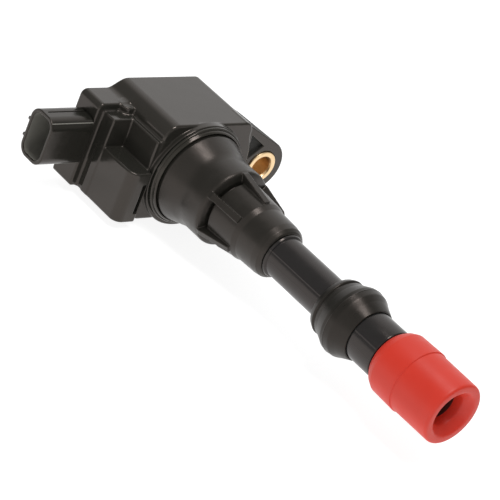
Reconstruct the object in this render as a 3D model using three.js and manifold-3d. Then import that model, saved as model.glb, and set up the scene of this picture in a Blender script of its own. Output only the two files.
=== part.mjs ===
// Plug-top ignition coil: a potted transformer head with a connector and a bolt ear, a ribbed tower,
// a stem tube with a rubber centring ring, and a silicone spark plug boot with a sprung contact cap.
// Units are millimetres. The coil lies on its side: X runs down the stem towards the plug, Y points from
// the connector towards the bolt ear, and Z is up. Shapes are drawn about the stem axis, with x = 0 at the
// front face of the head, and the finished group is then set on its bottom centre.
import * as THREE from "three";
import { mergeVertices } from "three/addons/utils/BufferGeometryUtils.js";
import Module from "manifold-3d";

const wasm = await Module();
wasm.setup();

// ---- driving dimensions -------------------------------------------------------------------------
const GAP = 0.3; // clearance between pieces that touch
const WALL = 2; // moulded wall of the head
const RUN_IN = 1; // how far a joined or cutting shape runs into or past its neighbour
const EDGE = 0.6; // small radius on a moulded edge
const ROUND_STEPS = 32; // sides of a large round piece
const SMALL_STEPS = 16; // sides of a small round piece

const HEAD = { back: -26, left: -15.2, right: 17.7, half: 15.3, corner: 4.6, earCorner: 3 };
const SLAB = { front: -17, left: -26, bottom: -14.6, top: 12.15, corner: 2 };
const STEP = { front: -12.1, left: -23.6, top: 10 };
const NOSE = { front: 2, left: -23.6, right: -16.5, bottom: -14.8, top: 1.2, corner: 3 };
const CORNER_BOSS = { x: -17, y: -16, radius: 2.6 };
// The round step on the head's front, behind the well seal, a little off the stem axis.
const COLLAR = { radius: 16.4, y: 0.3, z: -0.65, back: -1, front: 1.5 };
const BULGE = { radius: 20.3, back: -8, chord: 17 }; // the head's right side, rounded out behind its front
const EAR = { back: -19, front: -0.7, y: 27.2, radius: 8.3, web: 13.8 };
const EAR_RECESS_DEPTH = 1.2; // a triangle in the front of the ear, above and below the bolt
const EAR_RECESS = [ // corners as [y, height above or below the middle]
  [18.9, 10.8],
  [25, 7.2],
  [20.1, 2.8],
];
const BUSHING = { outer: 5.15, bore: 3.5, proud: 0.2 };
const CONNECTOR = { mouth: -41.2, back: -25.5, front: -15.5, half: 7.5, corner: 3.4, wall: 1.1, floor: -30 };
const KEYS = { heights: [2.8, -2.3], proud: 0.5, width: 0.8, length: 1.4 };
const LINE_GROOVE = { x: -21, width: 0.4, depth: 0.3, start: -39.6 }; // along the top of the connector
const PINS = { count: 3, pitch: 3.4, width: 1, thick: 0.64, tip: -36.2, inner: -19.2, legEnd: -19.4 };
const PIN_SLOT = { halfX: 0.7, halfZ: 0.9 };
const PIN_WINDOW = { back: -23, front: -18.8, half: 5.2 };
const RESIN_DEPTH = 0.8; // how far the potting resin lies below the open rim
const SEAL_BORE = 14.35;
const SEAL_BACK = 15.5; // the well seal's radius where it rests on the collar
const SEAL_FACE = [ // [x, radius] over the front of the well seal, from its rim in
  [2.1, 15.7],
  [2.4, 15.7],
  [2.7, 15.45],
  [2.5, 15.2],
  [3.1, 15],
  [3.6, 14.7],
  [3, SEAL_BORE],
];
const TOWER = { radius: 12.1, shoulder: 19.4, end: 41.8, bore: 4.2, socket: 27.6, lip: 0.9 };
const TOWER_FOOT = { radius: 14.05, end: 4, waist: 10.5 };
const TOWER_GROOVE = { end: 20.8, radius: 8.4 }; // between the shoulder and the neck
const TOWER_NECK = [ // [x, radius] down the neck, inside the ribs
  [20.8, 9.65],
  [30.6, 9.15],
  [32.3, 8.6],
  [38.8, 8.35],
  [40.4, 8.05],
];
const RIBS = { count: 6, first: 33.2, width: 2, start: 16, end: 30.4, top: 12, foot: 9.6, root: 8 };
const TUBE = {
  start: 28,
  radius: 6.13,
  step: 67,
  lowRadius: 7.5,
  shoulder: 88.2,
  neck: 6.2,
  end: 100,
  bore: 3.3,
  stop: 98,
  stopBore: 2.5,
};
const RING = { start: 64.8, end: 79.2 };
const RING_PROFILE = [ // [distance from the start, radius] over the lip, the groove and the bulge
  [0, 8.1],
  [1, 8.8],
  [1.8, 8.9],
  [2.2, 8.4],
  [2.8, 8.75],
  [5, 9.6],
  [7, 10.35],
  [8.2, 10.5],
  [10, 10.2],
  [11.4, 9.4],
  [12.6, 8.55],
  [14.4, 8],
];
const BOOT = { start: 88.5, end: 113.4, radius: 9.7, lowRadius: 9.3, step: 99.4, bore: 4.4, mouth: 6.85 };
const FUNNEL = { rimDepth: 1.6, rimRadius: 5.6, depth: 4 };
const CAP = { start: 88, end: 102, radius: 2.9, nose: 2.1 };
const SPRING = { start: 27.3, end: 87.7, radius: 2.3, wire: 0.4, turns: 12 };
const RESISTOR = { start: 10.4, end: 25.6, radius: 2.7, cap: 1.7, capRadius: 3 };
const CORE = { x: -11.4, thick: 6.4, height: 9, left: -8.3, right: 9.6, leg: 3.4, back: -23.4, bar: 2.6 };
const MAGNET_THICK = 1.2;
const WINDING = { left: -7.6, right: 10.2, primaryRight: 9.2, flange: 0.9 };
const PRIMARY = { halfX: 4.4, halfZ: 5.7, wall: 0.8, flangeX: 6, flangeZ: 7.3 };
const SECONDARY = { halfX: 7.2, halfZ: 8.5, wall: 0.8, flangeX: 8.7, flangeZ: 11.2, sections: 4 };
const TUBE_CORNER = 0.8; // corner radius of a bobbin tube
const COIL_CORNER = 1.2; // corner radius of a bobbin flange or a winding
const IGNITER = { back: -16, front: -2.2, left: -21.2, right: -17.2, bottom: -12.2, top: -1.4 };
const HEAT_SINK = { back: -16.6, front: -1.6, left: -16.8, right: -15.9 };
const CAPACITOR = { back: -22.4, front: -19.4, left: -23.4, right: -19.9, bottom: 6.2, top: 9.6 };
const TERMINAL = { back: -1.6, front: 10, radius: 2.4, head: 3.6, headThick: 0.8 };

// ---- helpers ------------------------------------------------------------------------------------
const AXIS_X = new THREE.Vector3(1, 0, 0);
const AXIS_Y = new THREE.Vector3(0, 1, 0);
const AXIS_Z = new THREE.Vector3(0, 0, 1);
const SHAPE_AXES = {
  x: new THREE.Matrix4().makeBasis(AXIS_Y, AXIS_Z, AXIS_X), // shape in (y, z)
  y: new THREE.Matrix4().makeBasis(AXIS_Z, AXIS_X, AXIS_Y), // shape in (z, x)
  z: new THREE.Matrix4(), // shape in (x, y)
};

// A closed geometry as a manifold-3d solid.
function solid(geometry) {
  const bare = geometry.clone();
  bare.deleteAttribute("normal");
  bare.deleteAttribute("uv");
  const merged = mergeVertices(bare, 1e-4);
  return new wasm.Manifold(
    new wasm.Mesh({
      numProp: 3,
      vertProperties: merged.attributes.position.array,
      triVerts: new Uint32Array(merged.index.array),
    }),
  );
}

// A manifold-3d solid as a three.js geometry.
function geometryOf(body) {
  const mesh = body.getMesh();
  const geometry = new THREE.BufferGeometry();
  geometry.setAttribute("position", new THREE.BufferAttribute(mesh.vertProperties, 3));
  geometry.setIndex(new THREE.BufferAttribute(mesh.triVerts, 1));
  geometry.computeVertexNormals();
  return geometry;
}

const join = (...bodies) => bodies.reduce((whole, body) => whole.add(body));
const cut = (body, ...tools) => tools.reduce((left, tool) => left.subtract(tool), body);

// A rectangle with corner radii in the order low-low, high-low, high-high, low-high.
function roundedRect(x0, y0, x1, y1, radii) {
  const [a, b, c, d] = Array.isArray(radii) ? radii : [radii, radii, radii, radii];
  const shape = new THREE.Shape();
  const corner = (x, y, r, start) => {
    if (r > 0) shape.absarc(x, y, r, start, start + Math.PI / 2, false);
    else shape.lineTo(x, y);
  };
  shape.moveTo(x0 + a, y0);
  shape.lineTo(x1 - b, y0);
  corner(x1 - b, y0 + b, b, -Math.PI / 2);
  shape.lineTo(x1, y1 - c);
  corner(x1 - c, y1 - c, c, 0);
  shape.lineTo(x0 + d, y1);
  corner(x0 + d, y1 - d, d, Math.PI / 2);
  shape.lineTo(x0, y0 + a);
  corner(x0 + a, y0 + a, a, Math.PI);
  return shape;
}

// A shape extruded along one axis, from one coordinate to another.
function prism(shape, axis, from, to, curveSegments = 4) {
  const geometry = new THREE.ExtrudeGeometry(shape, {
    depth: to - from,
    bevelEnabled: false,
    curveSegments,
  });
  geometry.translate(0, 0, from);
  geometry.applyMatrix4(SHAPE_AXES[axis]);
  return solid(geometry);
}

function box(x0, x1, y0, y1, z0, z1) {
  const geometry = new THREE.BoxGeometry(x1 - x0, y1 - y0, z1 - z0);
  geometry.translate((x0 + x1) / 2, (y0 + y1) / 2, (z0 + z1) / 2);
  return solid(geometry);
}

// A round bar or hole along X, centred on (y, z).
function rodX(x0, x1, radius, y = 0, z = 0, steps = SMALL_STEPS) {
  const geometry = new THREE.CylinderGeometry(radius, radius, x1 - x0, steps);
  geometry.rotateZ(-Math.PI / 2);
  geometry.translate((x0 + x1) / 2, y, z);
  return solid(geometry);
}

// A closed profile of [x, radius] points turned about the stem axis, listed so that the outside comes
// first from low x to high x and the inside comes back.
function turned(profile, steps = ROUND_STEPS) {
  const points = [...profile, profile[0]].map(([x, r]) => new THREE.Vector2(r, x));
  const geometry = new THREE.LatheGeometry(points, steps);
  geometry.rotateZ(-Math.PI / 2);
  return solid(geometry);
}

// A rectangular ring round the winding axis: a wound or moulded sleeve along Y about the core.
function sleeve(y0, y1, halfX, halfZ, wall, corner) {
  const outer = roundedRect(-halfZ, CORE.x - halfX, halfZ, CORE.x + halfX, corner);
  const innerZ = halfZ - wall;
  const innerX = halfX - wall;
  const inner = roundedRect(-innerZ, CORE.x - innerX, innerZ, CORE.x + innerX, Math.max(corner - wall, 0.3));
  return cut(prism(outer, "y", y0, y1, 2), prism(inner, "y", y0 - 1, y1 + 1, 2));
}

const coil = new THREE.Group();

function add(name, body, colour, roughness, metalness = 0) {
  const material = new THREE.MeshStandardMaterial({ color: colour, roughness, metalness });
  const mesh = new THREE.Mesh(geometryOf(body), material);
  mesh.name = name;
  coil.add(mesh);
}

// ---- head case ----------------------------------------------------------------------------------
// The outline of the ear: a round boss joined to the side of the head by two tangent webs.
function earShape() {
  const { y, radius, web } = EAR;
  const dy = y - HEAD.right;
  const tangent = Math.PI - Math.atan2(web, dy) - Math.acos(radius / Math.hypot(dy, web));
  const shape = new THREE.Shape();
  shape.moveTo(HEAD.right - RUN_IN, -web);
  shape.lineTo(HEAD.right, -web);
  shape.absarc(y, 0, radius, -tangent, tangent, false);
  shape.lineTo(HEAD.right, web);
  shape.lineTo(HEAD.right - RUN_IN, web);
  return shape;
}

function headCase() {
  const { earCorner, corner } = HEAD;
  const main = prism(
    roundedRect(HEAD.left, -HEAD.half, HEAD.right, HEAD.half, [EDGE, earCorner, earCorner, corner]),
    "x",
    HEAD.back,
    0,
    6,
  );
  const slab = prism(
    roundedRect(SLAB.left, SLAB.bottom, HEAD.left + WALL, SLAB.top, [EDGE, 0, 0, SLAB.corner]),
    "x",
    HEAD.back,
    SLAB.front,
  );
  const step = box(SLAB.front - RUN_IN, STEP.front, STEP.left, HEAD.left + RUN_IN, SLAB.bottom, STEP.top);
  const nose = prism(
    roundedRect(STEP.front - RUN_IN, NOSE.left, NOSE.front, NOSE.right, [0, NOSE.corner, EDGE, 0]),
    "z",
    NOSE.bottom,
    NOSE.top,
  );
  const noseRoot = box(
    STEP.front - RUN_IN,
    0,
    NOSE.right - RUN_IN,
    HEAD.left + RUN_IN,
    NOSE.bottom,
    NOSE.top,
  );
  const bossShape = new THREE.Shape();
  bossShape.absarc(CORNER_BOSS.x, CORNER_BOSS.y, CORNER_BOSS.radius, 0, 2 * Math.PI, false);
  const cornerBoss = prism(bossShape, "z", STEP.top - RUN_IN, SLAB.top, 6);
  const collar = rodX(COLLAR.back, COLLAR.front, COLLAR.radius, COLLAR.y, COLLAR.z, 2 * ROUND_STEPS);
  const earBody = prism(earShape(), "x", EAR.back, EAR.front, 10);
  const recesses = [-1, 1].map((side) => {
    const shape = new THREE.Shape();
    shape.setFromPoints(EAR_RECESS.map(([y, z]) => new THREE.Vector2(y, side * z)));
    return prism(shape, "x", EAR.front - EAR_RECESS_DEPTH, RUN_IN);
  });
  const ear = cut(earBody, ...recesses);
  const bulgeTurn = Math.acos(BULGE.chord / BULGE.radius);
  const bulgeShape = new THREE.Shape();
  bulgeShape.absarc(0, 0, BULGE.radius, -bulgeTurn, bulgeTurn, false);
  const bulge = prism(bulgeShape, "x", BULGE.back, 0, 12);

  const inside = HEAD.back - RUN_IN;
  const coilRoom = prism(
    roundedRect(
      HEAD.left + WALL,
      -HEAD.half + WALL,
      HEAD.right - WALL,
      HEAD.half - WALL,
      HEAD.corner - WALL,
    ),
    "x",
    inside,
    -WALL,
    3,
  );
  const slabRoom = box(
    inside,
    SLAB.front - WALL,
    SLAB.left + WALL,
    HEAD.left + WALL + RUN_IN,
    SLAB.bottom + WALL,
    SLAB.top - WALL,
  );
  const noseRoom = box(
    inside,
    -WALL / 2,
    NOSE.left + WALL,
    HEAD.left + WALL + RUN_IN,
    NOSE.bottom + WALL,
    NOSE.top - WALL,
  );
  const pinWindow = box(
    PIN_WINDOW.back,
    PIN_WINDOW.front,
    SLAB.left - RUN_IN,
    SLAB.left + WALL + RUN_IN,
    -PIN_WINDOW.half,
    PIN_WINDOW.half,
  );
  const bushingHole = rodX(EAR.back - RUN_IN, RUN_IN, BUSHING.outer + GAP, EAR.y, 0, 24);
  const terminalHole = rodX(-WALL - RUN_IN, COLLAR.front + RUN_IN, TOWER.bore);
  return cut(
    join(main, slab, step, nose, noseRoot, cornerBoss, collar, ear, bulge),
    coilRoom,
    slabRoom,
    noseRoom,
    pinWindow,
    bushingHole,
    terminalHole,
  );
}

// The visible surface of the potting resin, just below the rim of the open side.
function pottingResin() {
  const main = prism(
    roundedRect(
      HEAD.left + WALL + GAP,
      -HEAD.half + WALL + GAP,
      HEAD.right - WALL - GAP,
      HEAD.half - WALL - GAP,
      HEAD.corner - WALL - GAP,
    ),
    "x",
    HEAD.back + RESIN_DEPTH,
    CORE.back - GAP,
    3,
  );
  const side = box(
    HEAD.back + RESIN_DEPTH,
    CORE.back - GAP,
    SLAB.left + WALL + GAP,
    HEAD.left + WALL + RUN_IN,
    SLAB.bottom + WALL + GAP,
    SLAB.top - WALL - GAP,
  );
  return join(main, side);
}

// ---- connector ----------------------------------------------------------------------------------
function connectorShroud() {
  const { mouth, back, front, half, corner, wall, floor } = CONNECTOR;
  const outer = prism(roundedRect(-half, back, half, front, corner), "y", mouth, SLAB.left - GAP);
  const room = prism(
    roundedRect(-half + wall, back + wall, half - wall, front - wall, corner - wall),
    "y",
    mouth - RUN_IN,
    floor,
  );
  const keys = KEYS.heights.map((z) =>
    box(
      back - KEYS.proud,
      back + wall / 2,
      mouth,
      mouth + KEYS.length,
      z - KEYS.width / 2,
      z + KEYS.width / 2,
    ),
  );
  const groove = box(
    LINE_GROOVE.x - LINE_GROOVE.width / 2,
    LINE_GROOVE.x + LINE_GROOVE.width / 2,
    LINE_GROOVE.start,
    SLAB.left,
    half - LINE_GROOVE.depth,
    half + RUN_IN,
  );
  const slots = pinHeights().map((z) =>
    box(
      pinX() - PIN_SLOT.halfX,
      pinX() + PIN_SLOT.halfX,
      floor - RUN_IN,
      SLAB.left,
      z - PIN_SLOT.halfZ,
      z + PIN_SLOT.halfZ,
    ),
  );
  return cut(join(outer, ...keys), room, groove, ...slots);
}

const pinX = () => (CONNECTOR.back + CONNECTOR.front) / 2;
const pinHeights = () =>
  Array.from({ length: PINS.count }, (_, i) => (i - (PINS.count - 1) / 2) * PINS.pitch);

// One flat terminal: a blade into the connector and a leg that turns down to the igniter.
function terminalPin(z) {
  const x = pinX();
  const low = z - PINS.width / 2;
  const high = z + PINS.width / 2;
  const blade = box(x - PINS.thick / 2, x + PINS.thick / 2, PINS.tip, PINS.inner, low, high);
  const leg = box(x - PINS.thick / 2, PINS.legEnd, PINS.inner - PINS.thick, PINS.inner, low, high);
  return join(blade, leg);
}

// ---- transformer in the head --------------------------------------------------------------------
const coreFront = CORE.x + CORE.thick / 2;
const coreBack = CORE.x - CORE.thick / 2;

// A block of the core's own height.
const coreBlock = (x0, x1, y0, y1) => box(x0, x1, y0, y1, -CORE.height / 2, CORE.height / 2);

// The return path: a bar behind the windings and a leg at each end of the core bar.
function returnCore() {
  const left = CORE.left - GAP - CORE.leg;
  const right = CORE.right + GAP + MAGNET_THICK + GAP + CORE.leg;
  const bar = coreBlock(CORE.back, CORE.back + CORE.bar, left, right);
  const legs = [left, right - CORE.leg].map((y) => coreBlock(CORE.back, coreFront, y, y + CORE.leg));
  return join(bar, ...legs);
}

function bobbin(y0, y1, size, stations) {
  const { halfX, halfZ, wall, flangeX, flangeZ } = size;
  const tube = sleeve(y0, y1, halfX, halfZ, wall, TUBE_CORNER);
  const flanges = stations.map((y) =>
    sleeve(y, y + WINDING.flange, flangeX, flangeZ, flangeX - halfX + wall / 2, COIL_CORNER),
  );
  return join(tube, ...flanges);
}

// Left edges of the secondary bobbin's flanges, evenly spaced over the winding length.
function flangeStations() {
  const run = WINDING.right - WINDING.left - WINDING.flange;
  return Array.from(
    { length: SECONDARY.sections + 1 },
    (_, i) => WINDING.left + (run * i) / SECONDARY.sections,
  );
}

// ---- stem ---------------------------------------------------------------------------------------
function towerBody() {
  const { radius, shoulder, end, bore, socket, lip } = TOWER;
  const [neckEnd] = TOWER_NECK.slice(-1);
  const start = COLLAR.front + GAP;
  const shell = turned([
    [start, TOWER_FOOT.radius],
    [TOWER_FOOT.end, TOWER_FOOT.radius],
    [TOWER_FOOT.waist, radius],
    [shoulder - lip, radius],
    [shoulder - 0.3 * lip, radius - 0.3 * lip],
    [shoulder, radius - lip],
    [shoulder, TOWER_GROOVE.radius],
    [TOWER_GROOVE.end, TOWER_GROOVE.radius],
    ...TOWER_NECK,
    [end, neckEnd[1] - lip],
    [end, TUBE.radius + GAP],
    [socket, TUBE.radius + GAP],
    [socket, bore],
    [start, bore],
  ]);
  const side = new THREE.Shape();
  side.moveTo(RIBS.start, RIBS.root);
  side.lineTo(RIBS.end, RIBS.root);
  side.lineTo(RIBS.end, RIBS.foot);
  side.lineTo(shoulder, RIBS.top);
  side.lineTo(RIBS.start, RIBS.top);
  const ribs = Array.from({ length: RIBS.count }, (_, i) =>
    prism(side, "z", -RIBS.width / 2, RIBS.width / 2).rotate([RIBS.first + (360 / RIBS.count) * i, 0, 0]),
  );
  return join(shell, ...ribs);
}

function stemTube() {
  const { start, radius, step, lowRadius, shoulder, neck, end, bore, stop, stopBore } = TUBE;
  return turned(
    [
      [start, radius],
      [step, radius],
      [step, lowRadius],
      [shoulder, lowRadius],
      [shoulder, neck],
      [end, neck],
      [end, stopBore],
      [stop, stopBore],
      [stop, bore],
      [start, bore],
    ],
    24,
  );
}

function centringRing() {
  const { start, end } = RING;
  const step = TUBE.step - GAP;
  return turned([
    ...RING_PROFILE.map(([along, r]) => [start + along, r]),
    [end, TUBE.lowRadius + GAP],
    [step, TUBE.lowRadius + GAP],
    [step, TUBE.radius + GAP],
    [start, TUBE.radius + GAP],
  ]);
}

function plugBoot() {
  const { start, end, radius, lowRadius, step, bore, mouth } = BOOT;
  return turned([
    [start, TUBE.lowRadius],
    [start + 1.4, radius - 0.9],
    [start + 2.8, radius - 0.2],
    [start + 4.5, radius],
    [step, radius],
    [step + GAP, lowRadius],
    [end - 1.2, lowRadius],
    [end - 0.4, lowRadius - 0.3],
    [end, lowRadius - 0.9],
    [end, mouth],
    [end - FUNNEL.rimDepth, FUNNEL.rimRadius],
    [end - FUNNEL.depth, bore],
    [TUBE.end + GAP, bore],
    [TUBE.end + GAP, TUBE.neck + GAP],
    [start, TUBE.neck + GAP],
  ]);
}

// A helical spring along the stem, squared off at both ends.
function contactSpring() {
  const { start, end, radius, wire, turns } = SPRING;
  const length = end - start - 2 * wire;
  class Helix extends THREE.Curve {
    getPoint(t, target = new THREE.Vector3()) {
      const angle = 2 * Math.PI * turns * t;
      return target.set(start + wire + length * t, radius * Math.cos(angle), radius * Math.sin(angle));
    }
  }
  const section = new THREE.Shape();
  section.absarc(0, 0, wire, 0, 2 * Math.PI, false);
  const geometry = new THREE.ExtrudeGeometry(section, {
    steps: turns * 8,
    curveSegments: 3,
    extrudePath: new Helix(),
  });
  return solid(geometry);
}

function contactCap() {
  const { start, end, radius, nose } = CAP;
  return turned(
    [
      [start, 0],
      [start, radius],
      [TUBE.stop - GAP, radius],
      [TUBE.stop - GAP, nose],
      [end - 0.8, nose],
      [end - 0.2, nose - 0.5],
      [end, nose - 1.2],
      [end, 0],
    ],
    SMALL_STEPS,
  );
}

// ---- the assembly -------------------------------------------------------------------------------
add("head_case", headCase(), 0x232321, 0.25);
add("potting_resin", pottingResin(), 0x1b1a18, 0.35);
add("connector_shroud", connectorShroud(), 0x262624, 0.35);
pinHeights().forEach((z, i) => add("terminal_pin_" + (i + 1), terminalPin(z), 0xc9a24e, 0.3, 1));

const bushing = turned(
  [
    [EAR.back - BUSHING.proud, BUSHING.outer],
    [BUSHING.proud, BUSHING.outer],
    [BUSHING.proud, BUSHING.bore],
    [EAR.back - BUSHING.proud, BUSHING.bore],
  ],
  24,
).translate([0, EAR.y, 0]);
add("bolt_bushing", bushing, 0xd9a860, 0.25, 1);

add("core_bar", coreBlock(coreBack, coreFront, CORE.left, CORE.right), 0x6a6a6c, 0.5, 1);
add("core_yoke", returnCore(), 0x6a6a6c, 0.5, 1);
const magnetLeft = CORE.right + GAP;
const biasMagnet = coreBlock(coreBack, coreFront, magnetLeft, magnetLeft + MAGNET_THICK);
add("bias_magnet", biasMagnet, 0x4a4a50, 0.4, 1);
const primaryEnds = [WINDING.left, WINDING.primaryRight - WINDING.flange];
const primaryBobbin = bobbin(WINDING.left, WINDING.primaryRight, PRIMARY, primaryEnds);
add("primary_bobbin", primaryBobbin, 0xd8d2c0, 0.5);
const primaryWinding = sleeve(
  WINDING.left + WINDING.flange + GAP,
  WINDING.primaryRight - WINDING.flange - GAP,
  PRIMARY.flangeX,
  PRIMARY.flangeZ,
  PRIMARY.flangeX - PRIMARY.halfX - GAP,
  COIL_CORNER,
);
add("primary_winding", primaryWinding, 0xb4632c, 0.3, 1);
add("secondary_bobbin", bobbin(WINDING.left, WINDING.right, SECONDARY, flangeStations()), 0xe6dfcb, 0.5);
flangeStations()
  .slice(0, -1)
  .forEach((y, i, stations) => {
    const pitch = (WINDING.right - WINDING.left - WINDING.flange) / stations.length;
    const halfX = SECONDARY.flangeX - GAP;
    const winding = sleeve(
      y + WINDING.flange + GAP,
      y + pitch - GAP,
      halfX,
      SECONDARY.flangeZ - GAP,
      halfX - SECONDARY.halfX - GAP,
      COIL_CORNER,
    );
    add("secondary_winding_" + (i + 1), winding, 0xa4501f, 0.3, 1);
  });

const block = (b) => box(b.back, b.front, b.left, b.right, b.bottom, b.top);
add("igniter_module", block(IGNITER), 0x17181a, 0.4);
add("igniter_heat_sink", block({ ...IGNITER, ...HEAT_SINK }), 0xb9bcc0, 0.4, 1);
add("noise_capacitor", block(CAPACITOR), 0x8c6a35, 0.5);

const sealRing = turned([[COLLAR.front + GAP, SEAL_BACK], ...SEAL_FACE, [COLLAR.front + GAP, SEAL_BORE]]);
add("well_seal", sealRing, 0x1f1f1f, 0.4);
add("tower_body", towerBody(), 0x2c2b2a, 0.5);
const terminalHead = rodX(TERMINAL.back, TERMINAL.back + TERMINAL.headThick, TERMINAL.head);
const outputTerminal = join(rodX(TERMINAL.back, TERMINAL.front, TERMINAL.radius), terminalHead);
add("output_terminal", outputTerminal, 0xc0b080, 0.3, 1);
const resistorBody = rodX(
  RESISTOR.start + RESISTOR.cap + GAP,
  RESISTOR.end - RESISTOR.cap - GAP,
  RESISTOR.radius,
);
add("suppression_resistor", resistorBody, 0x8a6f4d, 0.6);
["upper", "lower"].forEach((end, i) => {
  const x = i === 0 ? RESISTOR.start : RESISTOR.end - RESISTOR.cap;
  add("resistor_cap_" + end, rodX(x, x + RESISTOR.cap, RESISTOR.capRadius), 0xc8b070, 0.3, 1);
});
add("stem_tube", stemTube(), 0x33343a, 0.35);
add("centring_ring", centringRing(), 0x242423, 0.45);
add("plug_boot", plugBoot(), 0xd83a2c, 0.45);
add("contact_spring", contactSpring(), 0xb8b8b4, 0.3, 1);
add("contact_cap", contactCap(), 0xc8a24c, 0.3, 1);

// ---- set on the bottom centre of its box ---------------------------------------------------------
const bounds = new THREE.Box3().setFromObject(coil);
const centre = bounds.getCenter(new THREE.Vector3());
coil.position.set(-centre.x, -centre.y, -bounds.min.z);

const ignitionCoil = new THREE.Group();
ignitionCoil.add(coil);
export default ignitionCoil;
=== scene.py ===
# Plug-top ignition coil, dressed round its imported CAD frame.
# Lengths below are millimetres in the coil's own layout: x runs down the stem with 0 at the head's front
# face, y goes from the connector to the bolt ear, z is up, and the stem's axis is y = z = 0. to_row()
# carries them to the frame's metres.
import itertools
import math
from types import SimpleNamespace as Sizes

import bmesh
import bpy
import numpy as np
from mathutils import Matrix, Vector


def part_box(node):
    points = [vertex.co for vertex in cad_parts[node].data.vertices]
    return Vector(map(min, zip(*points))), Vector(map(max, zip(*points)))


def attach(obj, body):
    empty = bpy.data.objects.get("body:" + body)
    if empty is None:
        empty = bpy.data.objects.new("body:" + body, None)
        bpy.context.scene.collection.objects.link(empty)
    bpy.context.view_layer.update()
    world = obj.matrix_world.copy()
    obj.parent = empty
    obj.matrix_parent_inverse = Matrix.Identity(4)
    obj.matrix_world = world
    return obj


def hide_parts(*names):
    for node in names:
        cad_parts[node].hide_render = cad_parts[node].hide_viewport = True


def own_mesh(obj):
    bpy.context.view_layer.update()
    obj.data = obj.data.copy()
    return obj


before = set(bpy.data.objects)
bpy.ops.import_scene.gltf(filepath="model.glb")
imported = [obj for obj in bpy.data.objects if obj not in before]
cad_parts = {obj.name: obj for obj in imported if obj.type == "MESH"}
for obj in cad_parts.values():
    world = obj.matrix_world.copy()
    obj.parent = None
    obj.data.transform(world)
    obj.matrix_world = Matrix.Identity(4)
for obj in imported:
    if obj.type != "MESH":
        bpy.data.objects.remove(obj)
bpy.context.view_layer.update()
MM = 0.001

# ---- places read from the frame -----------------------------------------------------------------
NOSE_FRONT = 2.0  # the nose stands this far in front of the head's face
tube_low, tube_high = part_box("stem_tube")
ORIGIN = np.array(
    [
        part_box("head_case")[1].x - NOSE_FRONT * MM,
        (tube_low.y + tube_high.y) / 2,
        (tube_low.z + tube_high.z) / 2,
    ]
)


def to_row(points):
    """Points in the coil's layout, in millimetres, as row frame metres."""
    return np.asarray(points, float) * MM + ORIGIN


def span(node, axis):
    """A CAD node's extent along one axis, in the coil's layout."""
    low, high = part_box(node)
    return ((low[axis] - ORIGIN[axis]) / MM, (high[axis] - ORIGIN[axis]) / MM)


# ---- driving dimensions -------------------------------------------------------------------------
HEAD_BACK = span("head_case", 0)[0]
WALL = 2.0  # the head's moulded wall
SEAL_START = span("well_seal", 0)[0]
EAR_Y = sum(span("bolt_bushing", 1)) / 2
CONNECTOR_MOUTH = span("connector_shroud", 1)[0]
BOOT_START, BOOT_END = span("plug_boot", 0)
RING_START, RING_END = span("centring_ring", 0)
TOWER_END = span("tower_body", 0)[1]
CAP_START, CAP_END = span("contact_cap", 0)
SPRING_START, SPRING_END = span("contact_spring", 0)

CELL = 0.24  # grid of the moulded pieces
CONNECTOR_CELL = CELL * 0.8
RESIN_CELL = 0.4


# ---- distance fields for the moulded pieces -----------------------------------------------------
def hypot(*parts):
    return np.sqrt(sum(part * part for part in parts))


def rounded_rect(a, b, low, high, radii):
    """Distance to a rectangle with rounded corners. The radii go round it: low-low, high-low, high-high,
    low-high."""
    middle = ((low[0] + high[0]) / 2, (low[1] + high[1]) / 2)
    da, db = a - middle[0], b - middle[1]
    radius = np.where(db < 0, np.where(da < 0, radii[0], radii[1]), np.where(da < 0, radii[3], radii[2]))
    qa = np.abs(da) - (high[0] - low[0]) / 2 + radius
    qb = np.abs(db) - (high[1] - low[1]) / 2 + radius
    return np.minimum(np.maximum(qa, qb), 0) + hypot(np.maximum(qa, 0), np.maximum(qb, 0)) - radius


def inset(outline, wall, radius):
    """A rectangle's outline moved in by a wall's thickness, with one radius at every corner."""
    low, high, _ = outline
    return (low[0] + wall, low[1] + wall), (high[0] - wall, high[1] - wall), (radius,) * 4


def polygon(a, b, points):
    """Distance to a polygon, negative inside."""
    nearest = np.full(a.shape, np.inf)
    inside = np.zeros(a.shape, bool)
    for (a0, b0), (a1, b1) in zip(points, points[1:] + points[:1]):
        ea, eb = a1 - a0, b1 - b0
        wa, wb = a - a0, b - b0
        t = np.clip((wa * ea + wb * eb) / (ea * ea + eb * eb), 0, 1)
        nearest = np.minimum(nearest, (wa - ea * t) ** 2 + (wb - eb * t) ** 2)
        crosses = (b0 > b) != (b1 > b)
        if eb:
            inside ^= crosses & (a < a0 + (b - b0) * ea / eb)
    return np.where(inside, -1, 1) * np.sqrt(nearest)


def extrude(flat, along, low, high, edge):
    """A flat outline carried along an axis from low to high, with its rims rounded by edge."""
    side = flat + edge
    end = np.abs(along - (low + high) / 2) - (high - low) / 2 + edge
    return np.minimum(np.maximum(side, end), 0) + hypot(np.maximum(side, 0), np.maximum(end, 0)) - edge


def block(p, low, high, edge):
    """A box with all its edges rounded."""
    flat = rounded_rect(p[0], p[1], low[:2], high[:2], (edge,) * 4)
    return extrude(flat, p[2], low[2], high[2], edge)


def join(a, b, fillet):
    """Both solids, with a fillet where they meet."""
    blend = np.maximum(fillet - np.abs(a - b), 0) / fillet
    return np.minimum(a, b) - blend * blend * fillet / 4


def cut(a, b, edge):
    """The first solid less the second, with the rim rounded."""
    return -join(-a, b, edge)


# ---- meshes -------------------------------------------------------------------------------------
def gradient(field, points, step=0.02):
    """The unit outward normal of a field at points."""
    signs = np.array([(1, -1, -1), (-1, -1, 1), (-1, 1, -1), (1, 1, 1)], float)
    slope = sum(s * field((points + s * step).T)[:, None] for s in signs)
    return slope / np.maximum(np.linalg.norm(slope, axis=1, keepdims=True), 1e-9)


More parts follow.
